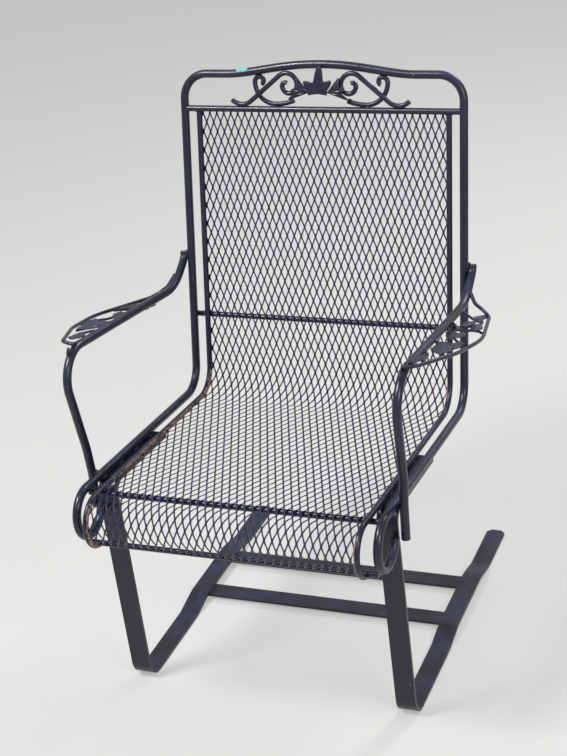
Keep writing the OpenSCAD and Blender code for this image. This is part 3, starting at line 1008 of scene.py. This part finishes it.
@dataclass
class LeafWork:
    """The stamped leaves of the arms and of the crest.

    An arm's leaf is its stalk's place out and forward, as shares of the ornament's reach and
    length, its turn outwards in degrees, its length and its width.
    """

    lines: ChairLines
    lift: float = 3.4
    arm_leaves: tuple[tuple[float, float, float, float, float], ...] = (
        (0.3, 0.13, 158, 50, 24), (0.1, 0.27, 20, 42, 17), (0.56, 0.22, 8, 62, 22),
        (0.5, 0.4, -12, 52, 21), (0.6, 0.6, 12, 48, 20), (0.4, 0.6, 8, 90, 38),
        (0.29, 0.84, -6, 62, 22), (0.7, 0.575, -14, 66, 20), (0.24, 0.39, 11, 62, 22),
        (0.42, 0.17, -16, 52, 20), (0.36, 0.09, 20, 44, 18))
    tulip: FanForm = FanForm(
        (18, 33), (-19, 51), 29, ((46, 9, 8), (-17, 14, 9), (8, 6, 8)), (38, 6, -10), 4.5, 9.9)
    middle: FanForm = FanForm(
        (0, 31), (-8, 188), 19, ((84, 31, 14), (88, 4, 40), (41, 17, 16), (139, 16, 17)),
        (84, 41, 139), 3.4, 11.9)

    def arm(self, side: Side, finish: bpy.types.Material) -> bpy.types.Object:
        """Makes the leaves of one arm.

        Args:
            side: the arm's side.
            finish: the material.

        Returns:
            The piece.
        """
        lines = self.lines
        leaves = []
        for out, share, turn, length, width in self.arm_leaves:
            a = math.radians(turn)
            run = lines.orn_dir * math.cos(a) + X_AXIS * math.sin(a)
            start = lines.orn(out, share) + lines.orn_up * self.lift
            if side is Side.LEFT:
                run.x, start.x = -run.x, -start.x
            leaves.append((LeafForm(length, width), frame_matrix(run, lines.orn_up, start)))
        tag = side.name.lower()
        return leaf_piece(f"leaves_arm_{tag}", leaves, f"arm_leaves_{tag}", finish)

    def crest(self, finish: bpy.types.Material) -> None:
        """Makes the tulips and the middle leaf of the crest.

        Args:
            finish: the material.
        """
        for side in Side:
            tag = side.name.lower()
            leaves = [(self.tulip, self.crest_place(side))]
            leaf_piece(f"tulip_{tag}", leaves, f"crest_tulip_{tag}", finish)
        leaves = [(self.middle, self.crest_place(Side.RIGHT))]
        leaf_piece("leaf_crest_middle", leaves, "crest_centre_leaf", finish)

    def crest_place(self, side: Side) -> Matrix:
        """The crest's own frame: out from the middle, up the back, and forward.

        Args:
            side: the side that it runs out to.

        Returns:
            The matrix from that frame to the chair's, mirrored on the left side.
        """
        lines = self.lines
        across, up, face = X_AXIS * side.value, lines.back_dir, -lines.back_out
        origin = lines.on_back(0, lines.back_len)
        rows = [(across[i], up[i], face[i], origin[i]) for i in range(3)]
        return Matrix((*rows, (0, 0, 0, 1)))


@dataclass(frozen=True)
class Bead:
    """One weld bead: where it lies, which way it runs, and its size."""

    place: Vector
    along: Vector
    length: float
    width: float


@dataclass
class WeldBeads:
    """Lumpy weld beads where bars and rods meet."""

    lines: ChairLines
    lump_size: float = 6.0
    lump_height: float = 2.2
    roll_depth: float = 94.0
    spring_welds: tuple[float, ...] = (236, 300, 365, 430)
    floor_bars: tuple[float, ...] = (48.0, 178.0)
    floor_bar_edge: float = 19.0
    floor_h: float = 12.6
    stem_welds: tuple[tuple[float, float], ...] = (
        (0.12, 12), (0.29, 9), (0.37, 7), (0.6, 2), (0.72, -1))
    scroll_welds: tuple[tuple[float, float], ...] = ((164, 6), (96, 6), (60, 20))
    beads: list[Bead] = field(default_factory=list)

    def both(self, place: Vector, along: Vector, length: float, width: float) -> None:
        """Adds a bead and its mirror image on the chair's other side.

        Args:
            place: the bead's middle.
            along: the way it runs.
            length: its length.
            width: its width and height.
        """
        for turn in (Vector((1, 1, 1)), Vector((-1, 1, 1))):
            self.beads.append(Bead(place * turn, (along * turn).normalized(), length, width))

    def lay_out(self) -> None:
        """Lists the beads of every joint."""
        lines = self.lines
        back, seat, under = lines.back_dir, lines.seat_dir, lines.seat_out
        top, mid = lines.back_len, lines.mid_rod_at
        front = lines.seat_len - lines.front_rod_back
        touch, side, rail = lines.half_w + lines.frame_r, lines.side_x, lines.half_w
        # The arms on the uprights and beside the seat.
        arm_seat = lines.seat_len - lines.arm_seat_back
        for drop in (-5.0, 5.0):
            self.both(lines.on_back(touch, lines.arm_weld_at, drop), back, 18, 5)
            self.both(lines.on_seat(touch, arm_seat, drop), seat, 16, 5)
        self.both(lines.on_back(touch, lines.arm_weld_at + 7, 0), X_AXIS, 10, 7)
        # The cross bar and rods on the side rods and on the frame.
        self.both(lines.on_back(side, top - 6, 1), X_AXIS, 15, 5)
        for step in (6, -6):
            self.both(lines.on_back(side, mid + step, 7), back, 9, 5)
        for step in (6, -6):
            self.both(lines.on_seat(side, front + step, 7), seat, 9, 5)
        self.both(lines.on_back(rail - 7, top, 0), back, 14, 6)
        self.both(lines.on_back(rail - 2, mid + 5, 9), X_AXIS, 10, 5)
        self.both(lines.on_seat(rail - 2, front + 5, 9), X_AXIS, 10, 5)
        roll_rod = lines.on_seat(side, lines.seat_len + lines.roll_reach, 2.5)
        self.both(roll_rod + under * self.roll_depth + Vector((0, -4, 2)), X_AXIS, 13, 6)
        # The springs under the seat, and the flat bars on their runners.
        for along in self.spring_welds:
            self.both(lines.on_seat(rail - 6, along, 7.4), seat, 20, 4)
            self.both(lines.on_seat(side + 4, along + 15, 7.4), seat, 18, 4)
        for y in self.floor_bars:
            for edge in (-self.floor_bar_edge, self.floor_bar_edge):
                place = Vector((rail - 33, y + edge * 0.4, self.floor_h))
                self.both(place, Y_AXIS, 15, 3.4)
        # The ornaments of the arms and of the crest.
        self.both(lines.orn(0.06, -0.01, 46), Vector((0.3, 0.6, 0.5)), 13, 6)
        self.both(lines.orn(0.1, 1.0, -2), lines.orn_dir, 14, 6)
        self.both(lines.orn(0.11, 1.06, -12), Vector((0.1, -0.5, -0.8)), 16, 5)
        for share, height in self.stem_welds:
            self.both(lines.orn(0.1, share, height), lines.orn_dir, 9, 5)
        for x, height in self.scroll_welds:
            self.both(lines.on_back(x, top + height, 0), X_AXIS, 9, 4)

    def tree(self) -> bpy.types.NodeTree:
        """The tree that sets a lumpy bead on each point.

        Returns:
            The tree.
        """
        tree = new_tree("weld_beads", {
            "Geometry": "Geometry", "Lump Size": "Float", "Lump Height": "Float",
            "Finish": "Material"})
        given = add(tree, "NodeGroupInput").outputs
        ball = add(tree, "GeometryNodeMeshIcoSphere", {"Radius": 0.5, "Subdivisions": 3})
        along, size = (
            add(tree, "GeometryNodeInputNamedAttribute", {"Name": name}, data_type="FLOAT_VECTOR")
            for name in ("along", "bead_size"))
        turned = add(tree, "FunctionNodeAlignRotationToVector", {"Vector": along}, axis="X")
        beads = add(tree, "GeometryNodeInstanceOnPoints", {
            "Points": given["Geometry"], "Instance": ball, "Rotation": turned, "Scale": size})
        real = add(tree, "GeometryNodeRealizeInstances", {"Geometry": beads})
        place = add(tree, "GeometryNodeInputPosition")
        rate = add(tree, MATH, {0: 1.0, 1: given["Lump Size"]}, operation="DIVIDE")
        rough = add(tree, NOISE, {"Vector": place, "Scale": rate, "Detail": 2.0})
        centred = add(tree, MATH, {0: rough, 1: 0.5}, operation="SUBTRACT")
        height = add(tree, MATH, {0: centred, 1: given["Lump Height"]}, operation="MULTIPLY")
        normal = add(tree, "GeometryNodeInputNormal")
        offset = add(tree, VECTORS, {0: normal, "Scale": height}, operation="SCALE")
        lumpy = add(tree, "GeometryNodeSetPosition", {"Geometry": real, "Offset": offset})
        dressed = add(tree, "GeometryNodeSetMaterial", {
            "Geometry": lumpy, "Material": given["Finish"]})
        add(tree, "NodeGroupOutput", {0: dressed})
        return tree

    def build(self, finish: bpy.types.Material) -> bpy.types.Object:
        """Makes all the beads as one piece.

        Args:
            finish: the material.

        Returns:
            The piece.
        """
        self.lay_out()
        mesh = bpy.data.meshes.new("bead_points")
        mesh.from_pydata([tuple(b.place * MM) for b in self.beads], [], [])
        along = mesh.attributes.new("along", "FLOAT_VECTOR", "POINT")
        size = mesh.attributes.new("bead_size", "FLOAT_VECTOR", "POINT")
        for i, bead in enumerate(self.beads):
            along.data[i].vector = bead.along
            size.data[i].vector = (bead.length * MM, bead.width * MM, bead.width * MM)
        piece = grown(new_object("bead_points", mesh), self.tree(), {
            "Lump Size": self.lump_size * MM, "Lump Height": self.lump_height * MM,
            "Finish": finish}, "weld_beads")
        smooth(piece.data)
        return settle(piece, finish)


@dataclass
class TapeScrap:
    """A scrap of plain tape stuck over the front and top of the crest's tube."""

    lines: ChairLines
    from_x: float = -168.5
    to_x: float = -145.5
    sheet: float = 0.25
    cling: float = 0.05
    wrap: tuple[float, float] = (-105.0, 62.0)
    ragged: float = 1.2
    wrinkle: float = 0.25
    columns: int = 14
    turns: int = 22
    crest_inset: float = 112.0
    shoulder_h: float = 67.0
    peak_h: float = 92.0
    crest_radii: tuple[float, float] = (300, 600)

    def axis(self) -> list[Vector]:
        """The crest's centre line.

        Returns:
            Its points, from left to right.
        """
        lines = self.lines
        inset = lines.half_w - self.crest_inset
        shoulder, peak = lines.back_len + self.shoulder_h, lines.back_len + self.peak_h
        points = [
            lines.on_back(-lines.half_w, shoulder), lines.on_back(-inset, shoulder),
            lines.on_back(0, peak), lines.on_back(inset, shoulder)]
        return filleted(points, [0, *self.crest_radii, 0], 0.25)

    def at(self, x: float) -> Vector:
        """The crest's centre line at a place across the chair.

        Args:
            x: the place.

        Returns:
            The point.
        """
        line = self.axis()
        for a, b in zip(line, line[1:]):
            if a.x <= x <= b.x:
                return a.lerp(b, (x - a.x) / (b.x - a.x))
        return line[0]

    def point(self, level: float, i: int, j: int) -> Vector:
        """A point of the scrap.

        Args:
            level: its height over the tube.
            i: its step across the chair.
            j: its step round the tube, from behind to the front.

        Returns:
            The point.
        """
        lines = self.lines
        low, high = self.wrap
        a = math.radians(low + (high - low) * j / self.turns)
        share = i / self.columns
        torn = noise.noise(Vector((j * 0.45, 3.0 if i else 9.0, 0.0)))
        x = self.from_x + (self.to_x - self.from_x) * share + self.ragged * torn * (2 * share - 1)
        fold = self.wrinkle * (noise.noise(Vector((i * 0.7, j * 0.5, 1.0))) + 1)
        ray = lines.back_dir * math.cos(a) - lines.back_out * math.sin(a)
        return self.at(x) + ray * (lines.frame_r + level + fold)

    def build(self, finish: bpy.types.Material) -> bpy.types.Object:
        """Makes the scrap.

        Args:
            finish: the material.

        Returns:
            The piece.
        """
        work = bmesh.new()
        add_sheet(work, (self.columns, self.turns), (self.sheet, self.cling), self.point, False)
        bmesh.ops.remove_doubles(work, verts=work.verts, dist=SAME)
        bmesh.ops.bridge_loops(work, edges=[e for e in work.edges if e.is_boundary])
        return settle(new_object("tape_scrap", smooth_mesh(work, "tape_scrap")), finish)


@dataclass
class Bars:
    """The bars and rods that keep their own shape and get their finish here."""

    finishes: dict[Slot, bpy.types.Material]
    side_rod_finish: bpy.types.Material

    def dress(self) -> None:
        """Gives each node the finish of its slot, and the side rods their own one with the light
        line along the seat's edges.
        """
        parts = frame["record"]["subparts"]
        slots = {entry["node"]: Slot(entry["material_slot"]) for entry in parts}
        for name, node in frame["nodes"].items():
            finish = self.side_rod_finish if name.startswith("side_rod") else self.finishes[slots[name]]
            for holder in node.material_slots:
                holder.material = finish
            if not node.material_slots:
                node.data.materials.append(finish)
            LOG.info("%s dressed in %s", name, finish.name)


@dataclass(frozen=True)
class Lamp:
    """One soft square lamp: its place and size in metres, and its power in watts."""

    name: str
    place: tuple[float, float, float]
    size: float
    power: float


@dataclass
class Studio:
    """A plain pale floor, soft lamps and the camera."""

    azimuth: float = 23.781
    elevation: float = 26.030
    roll: float = -6.693
    distance: float = 3193.92
    shift: tuple[float, float] = (-16.14, 42.577)
    target_h: float = 500.0
    lens: float = 80.91638
    sensor: float = 36.0
    floor_m: float = 30.0
    sight_m: float = 100.0
    lamp_target: tuple[float, float, float] = (0, 0, 0.5)
    world_level: float = 0.35
    far_level: float = 0.53
    lamp_set: tuple[Lamp, ...] = (
        Lamp("key", (-1.5, -1.6, 3.6), 0.8, 120.0),
        Lamp("fill", (2.6, -2.0, 2.4), 1.4, 40.0),
        Lamp("rim", (1.2, 2.6, 3.0), 1.0, 60.0))

    def floor(self, finish: bpy.types.Material) -> None:
        """Lays the floor.

        Args:
            finish: its material.
        """
        mesh = bpy.data.meshes.new("floor")
        corners = ((-1, -1), (1, -1), (1, 1), (-1, 1))
        points = [(x * self.floor_m, y * self.floor_m, 0) for x, y in corners]
        mesh.from_pydata(points, [], [(0, 1, 2, 3)])
        mesh.materials.append(finish)
        new_object("floor", mesh)

    def lamps(self) -> None:
        """Hangs the lamps and lights the surroundings."""
        world = bpy.data.worlds.new("studio")
        bpy.context.scene.world = world
        world.use_nodes = True
        tree = world.node_tree
        background = tree.nodes["Background"]
        background.inputs["Color"].default_value = (1.0, 1.0, 1.0, 1.0)
        # Seen straight or in a reflection the surroundings carry on from the far floor.
        more = self.far_level - self.world_level
        level = add(
            tree, MATH, {0: seen_rays(tree), 1: more, 2: self.world_level},
            operation="MULTIPLY_ADD")
        tree.links.new(level.outputs[0], background.inputs["Strength"])
        for lamp in self.lamp_set:
            light = bpy.data.lights.new(lamp.name, "AREA")
            light.size = lamp.size
            light.energy = lamp.power
            holder = new_object(lamp.name, light)
            holder.location = lamp.place
            aim = Vector(self.lamp_target) - Vector(lamp.place)
            holder.rotation_euler = aim.to_track_quat("-Z", "Y").to_euler()

    def camera(self) -> None:
        """Sets up the camera."""
        az, el, roll = (math.radians(a) for a in (self.azimuth, self.elevation, self.roll))
        level = math.cos(el)
        back = Vector((math.sin(az) * level, -math.cos(az) * level, math.sin(el)))
        x = Vector((0, 0, 1)).cross(back).normalized()
        y = back.cross(x)
        right = x * math.cos(roll) + y * math.sin(roll)
        up = y * math.cos(roll) - x * math.sin(roll)
        place = Vector((0, 0, self.target_h)) + back * self.distance
        place += right * self.shift[0] + up * self.shift[1]
        data = bpy.data.cameras.new("camera")
        data.sensor_fit = "VERTICAL"
        data.sensor_height = self.sensor
        data.lens = self.lens
        data.clip_end = self.sight_m
        holder = new_object("camera", data)
        turn = Matrix((right, up, back)).transposed().to_4x4()
        turn.translation = place * MM
        holder.matrix_world = turn
        bpy.context.scene.camera = holder

    def build(self) -> None:
        """Sets up the whole studio."""
        self.floor(StudioSurface().build())
        self.lamps()
        self.camera()
        bpy.context.scene.view_settings.view_transform = "Standard"


def main() -> None:
    """Builds the chair's looks and the studio, piece by piece."""
    logging.basicConfig(level=logging.INFO, format="%(name)s: %(message)s")
    lines = ChairLines()
    # The pinkish tan below is the rust colour of the mesh and the side rods, and shows as a light
    # line along the seat's edges.
    pinkish_tan = "#8b7064"
    finishes = {
        Slot.FRAME: Enamel("enamel_frame").build(),
        Slot.MESH: Enamel(
            "enamel_mesh", skin="#22264a", deep="#161830", rust=pinkish_tan, chip_level=0.81,
            edge_band_mm=(239.0, 246.0)).build(),
        Slot.ORNAMENT: Enamel("enamel_ornament", peel_mm=1.2).build(),
        Slot.LEAF: Enamel("enamel_leaf", chip_level=0.775, peel_mm=1.2).build(),
        Slot.SPRING: Enamel(
            "enamel_spring", skin="#1a1c2c", deep="#101119", chip_level=0.79, bloom=0.4,
            roughness=0.33).build(),
    }
    side_rods = Enamel("enamel_side_rod", rust=pinkish_tan, edge_band_mm=(252.0, 249.0)).build()
    Bars(finishes, side_rods).dress()
    ExpandedMesh(lines).build(finishes[Slot.MESH])
    leaves = LeafWork(lines)
    for side in Side:
        leaves.arm(side, finishes[Slot.LEAF])
    leaves.crest(finishes[Slot.LEAF])
    WeldBeads(lines).build(Enamel("enamel_weld", chip_level=0.72).build())
    TapeScrap(lines).build(VinylTape().build())
    Studio().build()


if __name__ == "__main__":
    main()
